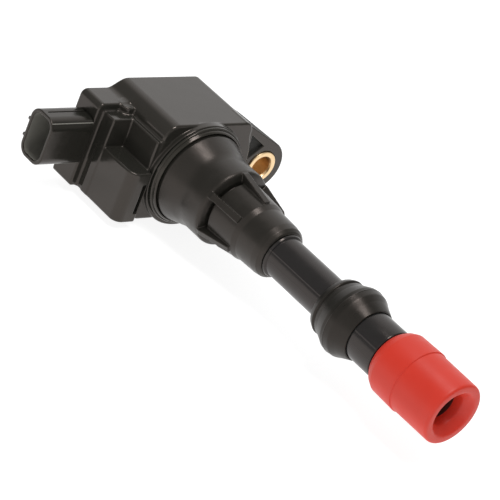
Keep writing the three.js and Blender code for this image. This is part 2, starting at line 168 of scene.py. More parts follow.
def settle(field, points, rounds=3, reach=0.3):
    """Points moved onto the field's surface, by at most reach in each round."""
    for _ in range(rounds):
        points = points - np.clip(field(points.T), -reach, reach)[:, None] * gradient(field, points)
    return points


def sampled(field, low, counts, cell, stride=4, margin=1.2):
    """The field on a grid, worked out finely only in the blocks that its surface may cross. A block is
    stride cells wide, and the surface may cross it when it is less than margin blocks from its middle."""
    blocks = [math.ceil(n / stride) for n in counts]
    middle = [low[i] + cell * (stride * np.arange(blocks[i]) + (stride - 1) / 2) for i in range(3)]
    coarse = field(np.stack(np.meshgrid(*middle, indexing="ij")))
    fine = coarse
    for axis in range(3):
        fine = np.repeat(fine, stride, axis=axis)
    fine = fine[: counts[0], : counts[1], : counts[2]].copy()
    near = np.abs(fine) < cell * stride * margin
    where = np.argwhere(near)
    fine[near] = field((low + where * cell).T)
    return fine


CORNERS = list(itertools.product((0, 1), repeat=3))


def next_to(a, b):
    return a < b and sum(x != y for x, y in zip(a, b)) == 1


CELL_EDGES = [(a, b) for a in CORNERS for b in CORNERS if next_to(a, b)]
QUAD_CELLS = ((-1, -1), (0, -1), (0, 0), (-1, 0))  # the four cells round a grid edge


def net_vertices(values):
    """The cells that the surface crosses, and for each the middle of its crossings, in cells from its low
    corner."""

    def corner(offset):
        return values[tuple(slice(o, n - 1 + o) for o, n in zip(offset, values.shape))]

    inside = sum((corner(c) < 0).astype(np.int8) for c in CORNERS)
    active = (inside > 0) & (inside < len(CORNERS))
    total = np.zeros((active.sum(), 3))
    crossings = np.zeros(active.sum())
    for a, b in CELL_EDGES:
        va, vb = corner(a)[active], corner(b)[active]
        crossed = (va < 0) != (vb < 0)
        share = np.where(crossed, va / np.where(crossed, va - vb, 1), 0)
        point = np.array(a, float) + share[:, None] * (np.array(b, float) - np.array(a, float))
        total[crossed] += point[crossed]
        crossings[crossed] += 1
    return active, total / crossings[:, None]


def net_quads(values, number):
    """A quad for each grid edge that the surface crosses. number holds each cell's vertex."""
    quads = []
    for axis in range(3):
        u, v = (axis + 1) % 3, (axis + 2) % 3
        first = [slice(1, n - 1) for n in values.shape]
        second = list(first)
        first[axis] = slice(0, values.shape[axis] - 1)
        second[axis] = slice(1, values.shape[axis])
        here, there = values[tuple(first)] < 0, values[tuple(second)] < 0
        start = np.array([1, 1, 1])
        start[axis] = 0
        for crossed, order in ((here & ~there, (0, 1, 2, 3)), (~here & there, (3, 2, 1, 0))):
            at = np.argwhere(crossed) + start
            ring = []
            for du, dv in QUAD_CELLS:
                cell_at = at.copy()
                cell_at[:, u] += du
                cell_at[:, v] += dv
                ring.append(number[tuple(cell_at.T)])
            quads.append(np.stack(ring, axis=1)[:, order])
    return np.concatenate(quads)


def surface_net(field, low, high, cell, border=2):
    """Vertices and quads of the field's surface: one vertex in each grid cell that it crosses. The grid
    goes border cells past the box from low to high."""
    low = np.asarray(low, float) - border * cell
    counts = np.ceil((np.asarray(high, float) + border * cell - low) / cell).astype(int) + 1
    values = sampled(field, low, counts, cell)
    active, middles = net_vertices(values)
    number = np.full(active.shape, -1)
    number[active] = np.arange(active.sum())
    return low + (np.argwhere(active) + middles) * cell, net_quads(values, number)


def link(name, mesh):
    piece = bpy.data.objects.new(name, mesh)
    bpy.context.scene.collection.objects.link(piece)
    return piece


def moulded(name, field, low, high, share=0.3, cell=CELL):
    """A moulded piece: the surface of a field between low and high, thinned to a share of its triangles,
    with the field's own normals."""
    vertices, quads = surface_net(field, low, high, cell)
    mesh = bpy.data.meshes.new(name)
    mesh.from_pydata(settle(field, vertices).tolist(), [], quads.tolist())
    piece = link(name, mesh)
    thin = piece.modifiers.new("thin", "DECIMATE")
    thin.ratio = share
    thin.use_collapse_triangulate = True
    thinned = bpy.data.meshes.new_from_object(piece.evaluated_get(bpy.context.evaluated_depsgraph_get()))
    piece.modifiers.clear()
    piece.data = thinned
    thinned.name = name
    bpy.data.meshes.remove(mesh)
    count = len(thinned.vertices)
    points = np.zeros(count * 3)
    thinned.vertices.foreach_get("co", points)
    points = settle(field, points.reshape(-1, 3), 2)
    normals = gradient(field, points)
    thinned.vertices.foreach_set("co", to_row(points).astype(np.float32).ravel())
    thinned.polygons.foreach_set("use_smooth", np.ones(len(thinned.polygons), bool))
    thinned.update()
    thinned.normals_split_custom_set_from_vertices(normals.tolist())
    return piece


LONGEST_RUN = 0.49  # share of an outline's edge that the fillet at one end may take


def rounded(points, steps=5):
    """A closed outline from (x, radius) or (x, radius, fillet) points, with an arc at each fillet."""
    outline = []
    flat = [np.array(point[:2], float) for point in points]
    for i, point in enumerate(points):
        here = flat[i]
        fillet = point[2] if len(point) > 2 else 0
        if not fillet:
            outline.append(here)
            continue
        back = flat[i - 1] - here
        ahead = flat[(i + 1) % len(points)] - here
        back_length, ahead_length = np.linalg.norm(back), np.linalg.norm(ahead)
        back, ahead = back / back_length, ahead / ahead_length
        half = math.acos(np.clip(back @ ahead, -1, 1)) / 2
        run = min(fillet / math.tan(half), LONGEST_RUN * back_length, LONGEST_RUN * ahead_length)
        radius = run * math.tan(half)
        centre = here + (back + ahead) / np.linalg.norm(back + ahead) * radius / math.sin(half)
        start, end = here + back * run - centre, here + ahead * run - centre
        turn = math.atan2(start[0] * end[1] - start[1] * end[0], start @ end)
        for step in range(steps + 1):
            angle = turn * step / steps
            c, s = math.cos(angle), math.sin(angle)
            outline.append(centre + np.array([c * start[0] - s * start[1], s * start[0] + c * start[1]]))
    return outline


def finish_mesh(piece, sharp=38, doubled=1e-7):
    """Merges vertices closer than doubled, turns faces outwards and smooths edges up to sharp degrees."""
    work = bmesh.new()
    work.from_mesh(piece.data)
    bmesh.ops.remove_doubles(work, verts=work.verts, dist=doubled)
    bmesh.ops.recalc_face_normals(work, faces=work.faces)
    work.to_mesh(piece.data)
    work.free()
    piece.data.polygons.foreach_set("use_smooth", np.ones(len(piece.data.polygons), bool))
    piece.data.set_sharp_from_angle(angle=math.radians(sharp))
    return piece


def turned(name, points, sides, y=0.0, shape=None):
    """A closed outline turned about the stem's axis, or about a line beside it at y. shape may change the
    radius round the turn: it takes the radius and the angle."""
    outline = np.array(rounded(points))
    angles = 2 * math.pi * np.arange(sides) / sides
    rings = []
    for angle in angles:
        radius = outline[:, 1] if shape is None else shape(outline[:, 1], angle)
        ring = [outline[:, 0], y + radius * math.cos(angle), radius * math.sin(angle)]
        rings.append(np.stack(ring, axis=1))
    count = len(outline)
    faces = []
    for s in range(sides):
        for i in range(count):
            j, t = (i + 1) % count, (s + 1) % sides
            faces.append((s * count + i, s * count + j, t * count + j, t * count + i))
    mesh = bpy.data.meshes.new(name)
    mesh.from_pydata(to_row(np.concatenate(rings)).tolist(), [], faces)
    return finish_mesh(link(name, mesh))


# ---- materials ----------------------------------------------------------------------------------
def surface(name, colour, roughness, metallic=0.0):
    """A material with a principled shader, and the tools to add to it."""
    material = bpy.data.materials.new(name)
    material.use_nodes = True
    nodes, links = material.node_tree.nodes, material.node_tree.links
    shader = nodes["Principled BSDF"]
    shader.inputs["Base Color"].default_value = (*colour, 1)
    shader.inputs["Roughness"].default_value = roughness
    shader.inputs["Metallic"].default_value = metallic
    place = nodes.new("ShaderNodeTexCoord")
    return material, nodes, links, shader, place


def noise(nodes, links, place, scale, detail=4.0, stretch=None):
    """A noise texture, scale in repeats per metre, maybe stretched along an axis."""
    texture = nodes.new("ShaderNodeTexNoise")
    texture.inputs["Scale"].default_value = scale
    texture.inputs["Detail"].default_value = detail
    source = place.outputs["Object"]
    if stretch:
        mapping = nodes.new("ShaderNodeMapping")
        mapping.inputs["Scale"].default_value = stretch
        links.new(source, mapping.inputs["Vector"])
        source = mapping.outputs["Vector"]
    links.new(source, texture.inputs["Vector"])
    return texture.outputs["Fac"]


def between(nodes, links, value, low, high, start=0.3, end=0.7):
    """A value's range start to end mapped to low to high."""
    ramp = nodes.new("ShaderNodeMapRange")
    for key, number in (("From Min", start), ("From Max", end), ("To Min", low), ("To Max", high)):
        ramp.inputs[key].default_value = number
    links.new(value, ramp.inputs["Value"])
    return ramp.outputs["Result"]


def mixed(nodes, links, value, first, second):
    """Two colours mixed by a value."""
    mix = nodes.new("ShaderNodeMix")
    mix.data_type = "RGBA"
    mix.inputs["A"].default_value = (*first, 1)
    mix.inputs["B"].default_value = (*second, 1)
    links.new(value, mix.inputs["Factor"])
    return mix.outputs["Result"]


def bump(nodes, links, shader, heights):
    """Bumps laid over each other: (height, strength, distance in metres)."""
    normal = None
    for height, strength, distance in heights:
        node = nodes.new("ShaderNodeBump")
        node.inputs["Strength"].default_value = strength
        node.inputs["Distance"].default_value = distance
        links.new(height, node.inputs["Height"])
        if normal:
            links.new(normal, node.inputs["Normal"])
        normal = node.outputs["Normal"]
    links.new(normal, shader.inputs["Normal"])


# repeats per metre of each noise, and its height as a bump in metres
CLOUDS = 120
CLOUD_HEIGHT = 0.0004
CLOUD_STRENGTH = 0.12
GLOSS_PATCHES = 420
GRAIN = 5200
GRAIN_HEIGHT = 0.00004
TOOL_MARKS = 900
TOOL_MARK_HEIGHT = 0.00003
TINT_PATCHES = 260


def moulding(name, dark, light, roughness, spread, grain, ior=1.5, sheen=(1, 1, 1)):
    """Moulded plastic or rubber: a cloudy colour, patchy gloss, fine grain and faint flow unevenness."""
    material, nodes, links, shader, place = surface(name, dark, roughness)
    shader.inputs["IOR"].default_value = ior
    shader.inputs["Specular Tint"].default_value = (*sheen, 1)
    clouds = noise(nodes, links, place, CLOUDS, 3)
    patches = noise(nodes, links, place, GLOSS_PATCHES, 5)
    fine = noise(nodes, links, place, GRAIN, 2)
    links.new(mixed(nodes, links, clouds, dark, light), shader.inputs["Base Color"])
    rough = between(nodes, links, patches, roughness - spread, roughness + spread)
    links.new(rough, shader.inputs["Roughness"])
    bump(nodes, links, shader, [(clouds, CLOUD_STRENGTH, CLOUD_HEIGHT), (fine, grain, GRAIN_HEIGHT)])
    return material


def metal(name, colour, tint, roughness, spread, stretch=(1, 1, 1), grain=0.15):
    """Turned, drawn or plated metal: stretched tool marks and a slight change of tint."""
    material, nodes, links, shader, place = surface(name, colour, roughness, 1.0)
    marks = noise(nodes, links, place, TOOL_MARKS, 4, stretch)
    patches = noise(nodes, links, place, TINT_PATCHES, 3)
    links.new(mixed(nodes, links, patches, colour, tint), shader.inputs["Base Color"])
    rough = between(nodes, links, marks, roughness - spread, roughness + spread)
    links.new(rough, shader.inputs["Roughness"])
    bump(nodes, links, shader, [(marks, grain, TOOL_MARK_HEIGHT)])
    return material


# After its two colours each moulding has its roughness, how far that varies, and the grain's strength, and
# each metal its roughness, how far that varies, the stretch of its marks and their strength.
LATHE_MARKS = (14, 1, 1)  # how much closer the marks are along x, y and z
WARM_SHEEN = (1, 0.85, 0.78)
CASE_COLOURS = ((0.0215, 0.0208, 0.0175), (0.0255, 0.0246, 0.0208))
CASE_BLACK = moulding("case_black", *CASE_COLOURS, 0.15, 0.03, 0.04, sheen=WARM_SHEEN)
FLANK_BLACK = moulding("flank_black", *CASE_COLOURS, 0.75, 0.05, 0.3)
CONNECTOR_BLACK = moulding(
    "connector_black", (0.012, 0.012, 0.0097), (0.016, 0.016, 0.013), 0.22, 0.04, 0.06, sheen=WARM_SHEEN
)
# Painted light: the inside of the connector's socket is painted a pale grey, far lighter than its black
# plastic, standing in for light reaching into the bore.
SOCKET_PAINTED_LIGHT = moulding("socket_painted_light", (0.19, 0.183, 0.162), (0.22, 0.212, 0.188), 0.6, 0.06, 0.1)
SEAL_BLACK = moulding(
    "seal_black", (0.017, 0.0175, 0.0135), (0.021, 0.0215, 0.017), 0.2, 0.04, 0.05, sheen=WARM_SHEEN
)
TOWER_BLACK = moulding(
    "tower_black", (0.0105, 0.0105, 0.0082), (0.0145, 0.0142, 0.0118), 0.33, 0.05, 0.16, sheen=WARM_SHEEN
)
TUBE_BLACK = moulding(
    "tube_black", (0.014, 0.0142, 0.0145), (0.017, 0.0172, 0.0175), 0.2, 0.04, 0.05, sheen=WARM_SHEEN
)
RING_BLACK = moulding(
    "ring_black", (0.009, 0.009, 0.0072), (0.013, 0.0127, 0.0105), 0.32, 0.05, 0.16, 1.42, WARM_SHEEN
)
RESIN_BLACK = moulding("resin_black", (0.008, 0.008, 0.008), (0.012, 0.0115, 0.011), 0.12, 0.04, 0.03)
SILICONE_RED = moulding(
    "silicone_red", (0.62, 0.031, 0.015), (0.70, 0.042, 0.022), 0.42, 0.05, 0.18, ior=1.41
)
# Painted shade: the boot's bore behind its funnel is painted a dark brown-red in place of its red silicone,
# standing in for the shade deep in the hole.
BOOT_BORE_PAINTED_SHADE = moulding("boot_bore_painted_shade", (0.075, 0.026, 0.022), (0.095, 0.032, 0.026), 0.3, 0.05, 0.1, ior=1.41)
BUSHING_BRASS = metal("bushing_brass", (0.90, 0.68, 0.42), (0.84, 0.61, 0.35), 0.36, 0.06, LATHE_MARKS)
CONTACT_BRASS = metal("contact_brass", (0.78, 0.58, 0.30), (0.70, 0.50, 0.24), 0.26, 0.06, LATHE_MARKS)
PIN_TIN = metal("pin_tin", (0.74, 0.73, 0.70), (0.66, 0.64, 0.60), 0.3, 0.06, (1, 0.1, 1))
SPRING_STEEL = metal("spring_steel", (0.62, 0.62, 0.60), (0.55, 0.55, 0.54), 0.28, 0.05)
CORE_STEEL = metal("core_steel", (0.36, 0.36, 0.37), (0.28, 0.28, 0.29), 0.45, 0.08, (1, 1, 12))
MAGNET_GREY = metal("magnet_grey", (0.20, 0.20, 0.21), (0.16, 0.16, 0.17), 0.5, 0.06)
COPPER_WIRE = metal("copper_wire", (0.60, 0.27, 0.11), (0.48, 0.19, 0.07), 0.32, 0.06, (1, 30, 1), 0.4)
HEAT_SINK = metal("heat_sink", (0.68, 0.69, 0.71), (0.6, 0.61, 0.63), 0.35, 0.06)
BOBBIN_NATURAL = moulding("bobbin_natural", (0.66, 0.62, 0.53), (0.72, 0.69, 0.60), 0.5, 0.06, 0.2)
CHIP_BLACK = moulding("chip_black", (0.03, 0.03, 0.032), (0.04, 0.04, 0.042), 0.5, 0.06, 0.3)
CAPACITOR_BROWN = moulding("capacitor_brown", (0.42, 0.28, 0.12), (0.48, 0.33, 0.15), 0.35, 0.05, 0.2)
RESISTOR_TAN = moulding("resistor_tan", (0.38, 0.29, 0.20), (0.44, 0.34, 0.24), 0.55, 0.05, 0.25)


def dress(piece, node, material, body="coil"):
    """The piece stands for a CAD node, rides on its body and gets its material."""
    piece.data.materials.clear()
    piece.data.materials.append(material)
    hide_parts(node)
    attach(piece, body)


def second_finish(piece, material, chosen):
    """Another material for the faces whose middle, in the coil's layout, passes the test."""
    piece.data.materials.append(material)
    for face in piece.data.polygons:
        if chosen((np.array(face.center) - ORIGIN) / MM):
            face.material_index = 1


# ---- camera -------------------------------------------------------------------------------------
SENSOR = 36.0
LENS = 169.46
NEAR_CLIP = 0.05
# its place in the coil's layout, and the directions to its right and ahead of it
CAMERA_AT = (397.5, -445.9, 280.3)
CAMERA_RIGHT = Vector((0.5989, 0.7188, 0.3529))
CAMERA_FORWARD = Vector((-0.5691, 0.6921, -0.4439))


def add_camera():
    data = bpy.data.cameras.new("camera")
    data.sensor_width = SENSOR
    data.lens = LENS
    data.clip_start = NEAR_CLIP
    camera = bpy.data.objects.new("camera", data)
    bpy.context.scene.collection.objects.link(camera)
    forward = CAMERA_FORWARD.normalized()
    right = (CAMERA_RIGHT - forward * CAMERA_RIGHT.dot(forward)).normalized()
    up = right.cross(forward)
    turn = Matrix((right, up, -forward)).transposed()
    camera.matrix_world = Matrix.Translation(to_row(CAMERA_AT)) @ turn.to_4x4()
    bpy.context.scene.camera = camera


add_camera()


# ---- head ---------------------------------------------------------------------------------------
# A rectangular outline is its low and high corner and its corner radii, and a box its low and high corner.
# The box named for a whole piece is the space that the piece lies in.
NEAR_EDGE = 0.3  # faces this near an edge keep a piece's first material
HEAD_BOX = ((HEAD_BACK, -26, -17.1), (NOSE_FRONT, 35.6, 17.1))
HEAD_LEFT = -15.2
HEAD_RIGHT = 17.7
HEAD_HALF = 15.3
HEAD_OUTLINE = ((HEAD_LEFT, -HEAD_HALF), (HEAD_RIGHT, HEAD_HALF), (2, 3, 3, 4.8))
BULGE = Sizes(radius=20.8, chord=15, back=-8)  # the right side, rounded out behind the head's face
SLAB_OUTLINE = ((-26, -14.6), (-11, 12.15), (0.8, 0.5, 0.5, 2))
SLAB_FRONT = -17
LEDGE = ((HEAD_BACK, -16.9, -14.9), (0, -8, 10.05))
STEP = ((-22, -23.6, -14.6), (-12.1, -12, 10))
NOSE_OUTLINE = ((-15, -23.6), (NOSE_FRONT, -16.4), (0.5, 3, 0.5, 0.5))
NOSE = Sizes(bottom=-14.8, top=1.2)
NOSE_SLOT = ((0.4, -18, -11.8), (4, -16.75, -2.6))  # upright, in the nose's front
CORNER_BOSS = Sizes(x=-17, y=-16, radius=2.6, bottom=7, top=12.1)
COLLAR = Sizes(y=0.3, z=-0.65, radius=16.4, back=-1, front=1.5)  # the round step behind the seal

EAR = Sizes(back=-19.0, front=-0.25, radius=8.3, web=13.8, root=HEAD_RIGHT - 3)
EAR_DRAFT = 0.034  # how much the ear narrows, all round, for each millimetre towards its back
EAR_RECESS = [(18.9, 10.8), (25, 7.2), (20.1, 2.8)]  # corners as y and height above or below the bolt
EAR_RECESS_DEPTH = 1.0
BUSHING_HOLE = 5.22

REACH = 4  # cutting shapes reach this far, well past what they cut
ROOM_OUTLINE = inset(HEAD_OUTLINE, WALL, 2.6)
SLAB_ROOM = ((HEAD_BACK - REACH, -24, -12.6), (-19, -10, 10.1))
NOSE_ROOM = ((HEAD_BACK - REACH, -21.6, -12.8), (-1, -10, -0.8))
PIN_WINDOW = ((-23, -28, -5.2), (-18.8, -22, 5.2))  # from the connector into the head
TERMINAL_HOLE = 4.2  # radius, as is the bushing's


def ear_outline(y, z):
    """The ear from the front: a round boss and two webs tangent to it."""
    dy = EAR_Y - HEAD_RIGHT
    tangent = math.pi - math.atan2(EAR.web, dy) - math.acos(EAR.radius / math.hypot(dy, EAR.web))
    ty = EAR_Y + EAR.radius * math.cos(tangent)
    tz = EAR.radius * math.sin(tangent)
    lower = [(EAR.root, -EAR.web), (HEAD_RIGHT, -EAR.web), (ty, -tz)]
    upper = [(ty, tz), (HEAD_RIGHT, EAR.web), (EAR.root, EAR.web)]
    return np.minimum(polygon(y, z, lower + upper), hypot(y - EAR_Y, z) - EAR.radius)


def bolt_ear(x, y, z):
    """The thick ear, narrowing towards its back, with a recess above and below the bolt."""
    drafted = ear_outline(y, z) + EAR_DRAFT * (EAR.front - x)
    ear = extrude(drafted, x, EAR.back, EAR.front, edge=0.5)
    recess = polygon(y, np.abs(z), EAR_RECESS)
    return cut(ear, extrude(recess, x, EAR.front - EAR_RECESS_DEPTH, REACH, edge=0.3), edge=0.4)


def head_block(x, y, z):
    """The square head with its right side rounded out."""
    outline = rounded_rect(y, z, *HEAD_OUTLINE)
    bulge = np.maximum(hypot(y, z) - BULGE.radius, BULGE.chord - y)
    front = extrude(join(outline, bulge, fillet=1), x, BULGE.back, 0, edge=0.7)
    return np.minimum(extrude(outline, x, HEAD_BACK, 0, edge=0.7), front)


def head_rooms(p):
    """The hollow inside the head, open at its back, and the way for the pins."""
    x, y, z = p
    room = extrude(rounded_rect(y, z, *ROOM_OUTLINE), x, HEAD_BACK - REACH, -WALL, edge=0.2)
    sides = np.minimum(block(p, *SLAB_ROOM, edge=0.2), block(p, *NOSE_ROOM, edge=0.2))
    return np.minimum(np.minimum(room, sides), block(p, *PIN_WINDOW, edge=0.2))


def head_field(p):
    x, y, z = p
    slab = extrude(rounded_rect(y, z, *SLAB_OUTLINE), x, HEAD_BACK, SLAB_FRONT, edge=0.6)
    steps = join(block(p, *LEDGE, edge=0.5), block(p, *STEP, edge=0.5), fillet=0.6)
    nose = extrude(rounded_rect(x, y, *NOSE_OUTLINE), z, NOSE.bottom, NOSE.top, edge=0.6)
    boss = hypot(x - CORNER_BOSS.x, y - CORNER_BOSS.y) - CORNER_BOSS.radius
    boss = extrude(boss, z, CORNER_BOSS.bottom, CORNER_BOSS.top, edge=0.5)
    collar = hypot(y - COLLAR.y, z - COLLAR.z) - COLLAR.radius
    collar = extrude(collar, x, COLLAR.back, COLLAR.front, edge=0.35)
    body = join(head_block(x, y, z), slab, fillet=2.4)
    body = join(body, steps, fillet=0.9)
    body = join(body, nose, fillet=0.6)
    body = join(body, boss, fillet=0.7)
    body = join(body, bolt_ear(x, y, z), fillet=0.2)
    body = join(body, collar, fillet=0.3)
    body = cut(np.maximum(body, HEAD_BACK - x), head_rooms(p), edge=0.5)
    body = cut(body, block(p, *NOSE_SLOT, edge=0.2), edge=0.3)
    bolt = hypot(y - EAR_Y, z) - BUSHING_HOLE
    terminal = extrude(hypot(y, z) - TERMINAL_HOLE, x, -REACH, REACH, edge=0.1)
    return cut(body, np.minimum(bolt, terminal), edge=0.35)


def on_ear_flank(middle):
    """Whether a point is behind the ear's front and beside the head."""
    return middle[0] < EAR.front - NEAR_EDGE and middle[1] > HEAD_RIGHT + NEAR_EDGE


head = moulded("head_case_shell", head_field, *HEAD_BOX, share=0.25)
dress(head, "head_case", CASE_BLACK)
second_finish(head, FLANK_BLACK, on_ear_flank)

# ---- potting resin ------------------------------------------------------------------------------
RESIN_BOX = ((HEAD_BACK, -24.5, -13.5), (-23, 16, 13.5))
RESIN_DEPTH = 0.8  # below the head's open rim
RESIN_BACK = HEAD_BACK + RESIN_DEPTH
RESIN_FRONT = -23.7
RESIN_OUTLINE = ((-13, -13.1), (15.5, 13.1), (2.4,) * 4)
RESIN_SIDE = ((RESIN_BACK, -23.8, -12.4), (RESIN_FRONT, -12, 9.9))
RIPPLE_HEIGHT = 0.05
RIPPLE_Y, RIPPLE_Z = 0.5, 0.6  # radians for each millimetre


def resin_field(p):
    x, y, z = p
    main = extrude(rounded_rect(y, z, *RESIN_OUTLINE), x, RESIN_BACK, RESIN_FRONT, edge=0.1)
    side = block(p, *RESIN_SIDE, edge=0.1)
    ripple = RIPPLE_HEIGHT * np.sin(y * RIPPLE_Y) * np.cos(z * RIPPLE_Z)
    return np.minimum(main, side) + ripple


resin = moulded("resin_surface", resin_field, *RESIN_BOX, cell=RESIN_CELL)
dress(resin, "potting_resin", RESIN_BLACK)

# ---- connector ----------------------------------------------------------------------------------
SHROUD_BOX = ((-26.2, -41.3, -7.6), (-15.4, -26.2, 7.6))
SHROUD_WALL = 1.1
SHROUD_OUTLINE = ((-25.5, -7.5), (-15.5, 7.5), (3.4,) * 4)
SHROUD_ROOT = -26.3
SOCKET_OUTLINE = inset(SHROUD_OUTLINE, SHROUD_WALL, 2.4)
SOCKET_FLOOR = -30
SOCKET_MARGIN = 0.2  # the socket's walls lie this near its outline
KEY_HEIGHTS = (2.8, -2.3)
KEY = Sizes(back=-26.15, front=-24.6, start=0.1, end=1.4, half=0.45)  # start and end from the mouth
LINE_GROOVE = ((-21.2, -39.6, 7.2), (-20.8, -24, 9.4))  # along the top
PIN_SLOTS = Sizes(pitch=3.4, back=-21.2, front=-19.8, half=0.9, start=-33, end=-24)


def connector_field(p):
    x, y, z = p
    mouth = CONNECTOR_MOUTH
    body = extrude(rounded_rect(x, z, *SHROUD_OUTLINE), y, mouth, SHROUD_ROOT, edge=0.3)
    for height in KEY_HEIGHTS:
        low = (KEY.back, mouth + KEY.start, height - KEY.half)
        high = (KEY.front, mouth + KEY.end, height + KEY.half)
        body = join(body, block(p, low, high, edge=0.08), fillet=0.12)
    socket = extrude(rounded_rect(x, z, *SOCKET_OUTLINE), y, mouth - 3, SOCKET_FLOOR, edge=0.3)
    body = cut(body, socket, edge=0.35)
    body = cut(body, block(p, *LINE_GROOVE, edge=0.05), edge=0.15)
    for i in (-1, 0, 1):
        height = i * PIN_SLOTS.pitch
        low = (PIN_SLOTS.back, PIN_SLOTS.start, height - PIN_SLOTS.half)
        high = (PIN_SLOTS.front, PIN_SLOTS.end, height + PIN_SLOTS.half)
        body = cut(body, block(p, low, high, edge=0.1), edge=0.2)
    return body


def in_socket(middle):
    """Whether a point is inside the connector, behind its mouth."""
    x, y, z = middle
    (back, bottom), (front, top), _ = SOCKET_OUTLINE
    beside = max(back - x, x - front, bottom - z, z - top)
    return beside < SOCKET_MARGIN and y > CONNECTOR_MOUTH + NEAR_EDGE


connector = moulded("connector_socket", connector_field, *SHROUD_BOX, share=0.4, cell=CONNECTOR_CELL)
dress(connector, "connector_shroud", CONNECTOR_BLACK)
# The socket's inside, behind its mouth, gets the painted light.
second_finish(connector, SOCKET_PAINTED_LIGHT, in_socket)

# ---- terminal pins ------------------------------------------------------------------------------
BLADE_THICK = 0.64
BLADE_EDGE = 0.06
TIP = Sizes(length=0.6, thick=0.45, wide=0.6)  # its length, and how much of the blade is left at its end


def blade(name, low, high):
    """A flat terminal blade between two corners, with a chamfered tip added towards low y."""
    work = bmesh.new()
    bmesh.ops.create_cube(work, size=1)
    middle, size = (low + high) / 2, high - low
    for vertex in work.verts:
        vertex.co = Vector(middle + np.array(vertex.co) * size)
    tip = [face for face in work.faces if face.normal.y < -0.9]
    made = bmesh.ops.extrude_face_region(work, geom=tip)
    bmesh.ops.delete(work, geom=tip, context="FACES_ONLY")
    for vertex in (v for v in made["geom"] if isinstance(v, bmesh.types.BMVert)):
        vertex.co.y -= TIP.length * MM
        vertex.co.x = middle[0] + (vertex.co.x - middle[0]) * TIP.thick
        vertex.co.z = middle[2] + (vertex.co.z - middle[2]) * TIP.wide
    edge = BLADE_EDGE * MM
    bmesh.ops.bevel(work, geom=work.edges[:], offset=edge, segments=2, profile=0.7, affect="EDGES")
    mesh = bpy.data.meshes.new(name)
    work.to_mesh(mesh)
    work.free()
    return finish_mesh(link(name, mesh))


for i in range(3):
    node = f"terminal_pin_{i + 1}"
    low, high = (np.array(corner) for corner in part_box(node))
    high[0] = low[0] + BLADE_THICK * MM
    low[1] += TIP.length * MM
    pin = blade(f"terminal_blade_{i + 1}", low, high)
    dress(pin, node, PIN_TIN)

# ---- turned pieces of the head ------------------------------------------------------------------
# From here on an outline's points are x, the radius and, where the corner is round, its fillet.
BUSHING_OUTLINE = [
    (-19.2, 5.15, 0.3),
    (0.2, 5.15, 0.25),
    (0.2, 3.75, 0.2),
    (-0.5, 3.5, 0.1),
    (-18.5, 3.5, 0.1),
    (-19.2, 3.75, 0.2),
]
bushing = turned("bolt_limiter", BUSHING_OUTLINE, sides=96, y=EAR_Y)
dress(bushing, "bolt_bushing", BUSHING_BRASS)

SEAL_OUTLINE = [
    (SEAL_START, 15.5, 0.15),
    (SEAL_START + 0.1, 15.75, 0.2),
    (2.4, 15.7, 0.3),
    (2.75, 15.4, 0.2),
    (2.5, 15.2, 0.2),
    (3.1, 15.05, 0.3),
    (3.55, 14.8, 0.2),
    (3.5, 14.45, 0.15),
    (3.1, 14.25, 0.1),
    (SEAL_START, 14.25),
]
seal = turned("well_seal_ring", SEAL_OUTLINE, sides=160)
dress(seal, "well_seal", SEAL_BLACK)

# ---- tower --------------------------------------------------------------------------------------
# These outlines are plain polygons of x and radius; a rib's is x and height.
TOWER_OUTLINE = [
    (SEAL_START, 4.2),
    (SEAL_START, 12.1),
    (18.4, 12.1),
    (18.9, 12.0),
    (19.25, 11.7),
    (19.5, 11.1),
    (19.9, 9.9),
    (20.0, 8.6),
    (20.8, 8.6),
    (20.8, 9.45),
    (21.05, 9.66),
    (30.6, 9.15),
    (32.3, 8.6),
    (38.8, 8.35),
    (40.6, 8.05),
    (TOWER_END - 0.3, 7.4),
    (TOWER_END, 7.0),
    (TOWER_END, 6.3),
    (27.6, 6.3),
    (27.6, 4.2),
]
FOOT_OUTLINE = [(2.1, 8), (2.1, 14.1), (3.9, 14.1), (4.15, 14.15), (12.9, 11.47), (12.9, 8)]
RIB_OUTLINE = [(17, 8), (30.4, 8), (30.4, 9.8), (19.7, 12.05), (19, 12.0), (17.6, 11.4)]
RIBS = Sizes(count=6, first=math.radians(33.2), width=2)
TOWER_BOX = ((SEAL_START, -14.2, -14.2), (TOWER_END, 14.2, 14.2))


def tower_field(p):
    x, y, z = p
    r = hypot(y, z)
    shell = join(polygon(x, r, TOWER_OUTLINE), polygon(x, r, FOOT_OUTLINE), fillet=0.4)
    sector = 2 * math.pi / RIBS.count
    turned_by = np.mod(np.arctan2(z, y) - RIBS.first + sector / 2, sector) - sector / 2
    out, across = r * np.cos(turned_by), r * np.sin(turned_by)
    rib = extrude(polygon(x, out, RIB_OUTLINE), across, -RIBS.width / 2, RIBS.width / 2, edge=0.2)
    return join(shell, rib, fillet=0.25)


tower = moulded("tower_moulding", tower_field, *TOWER_BOX)
dress(tower, "tower_body", TOWER_BLACK)

# ---- stem tube ----------------------------------------------------------------------------------
TUBE_RADIUS = 6.13
TUBE_END = 100
TUBE_OUTLINE = [
    (28, TUBE_RADIUS, 0.3),
    (TOWER_END + 0.05, TUBE_RADIUS),
    (TOWER_END + 0.05, 6.9, 0.3),
    (TOWER_END + 0.9, 6.6, 0.4),
    (TOWER_END + 1.1, TUBE_RADIUS, 0.1),
    (67, TUBE_RADIUS),
    (67, 7.5, 0.5),
    (88.2, 7.5, 0.4),
    (88.2, 6.2),
    (TUBE_END, 6.2, 0.3),
    (TUBE_END, 2.5, 0.1),
    (98, 2.5),
    (98, 3.3),
    (28, 3.3),
]
# a seam's angle round the tube, and its height and width; only points past the radius inside have it
SEAM = Sizes(angle=math.radians(155), height=0.09, width=0.22, radius=6.5, inside=5.9)


